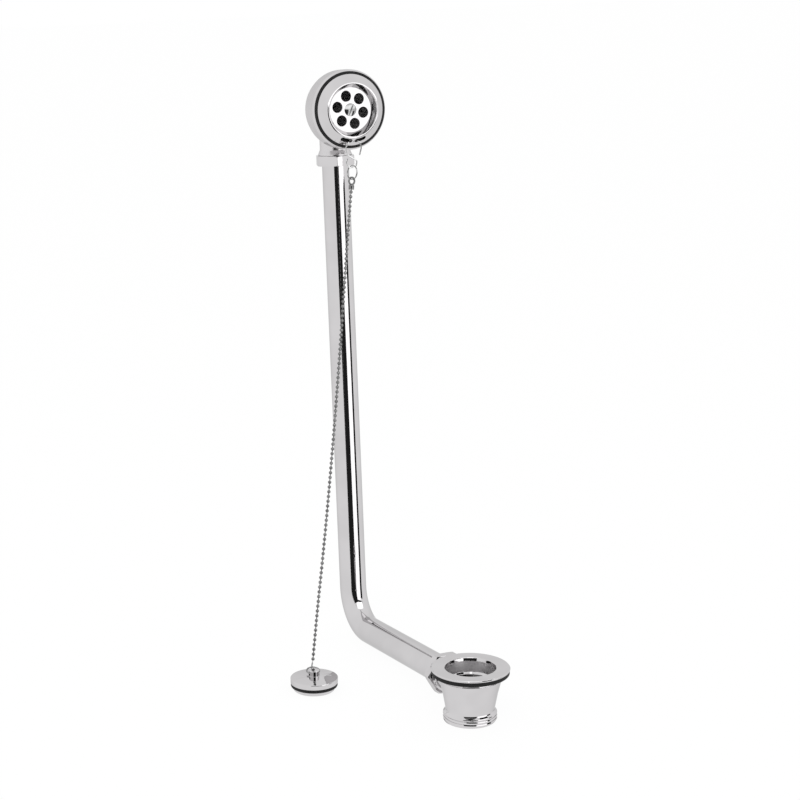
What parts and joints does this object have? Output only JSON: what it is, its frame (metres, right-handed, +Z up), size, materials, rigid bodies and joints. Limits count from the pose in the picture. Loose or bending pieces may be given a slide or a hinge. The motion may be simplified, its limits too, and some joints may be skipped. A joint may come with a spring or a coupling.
{
  "type": "bath waste and overflow",
  "caption": "Exposed bath waste and overflow: round overflow head with a drilled grid, bent tube with compression nuts, flanged waste with a threaded outlet, and a plug on a bead chain.",
  "frame": {"origin": "on the waste axis, in the plane where the underside of the waste flange seats on the bath", "axes": "+Z up out of the waste, +Y back along the overflow tube's arm, and the overflow face looks along -Y"},
  "size_m": [0.154, 0.337, 0.5436],
  "materials": {
    "chrome": "polished chrome plate on brass",
    "rubber": "matt black rubber",
    "brass": "plain turned brass",
    "steel_wire": "plated steel wire and beads"
  },
  "bodies": {
    "root": {"overflow_body": "chrome", "overflow_seal": "rubber", "overflow_face": "chrome", "overflow_screw": "chrome", "overflow_nut": "chrome", "overflow_slip_washer": "brass", "overflow_compression_ring": "rubber", "overflow_tube": "chrome", "waste_nut": "chrome", "waste_slip_washer": "brass", "waste_compression_ring": "rubber", "waste_body": "chrome", "waste_seal": "rubber", "waste_flange": "chrome", "chain_hook": "steel_wire", "split_ring": "steel_wire", "chain_coupling": "steel_wire", "bead_chain": "steel_wire", "chain_end_link": "steel_wire", "plug_ring": "steel_wire", "plug_body": "chrome", "plug_seal": "rubber", "plug_base": "chrome", "plug_screw": "brass"}
  },
  "joints": []
}
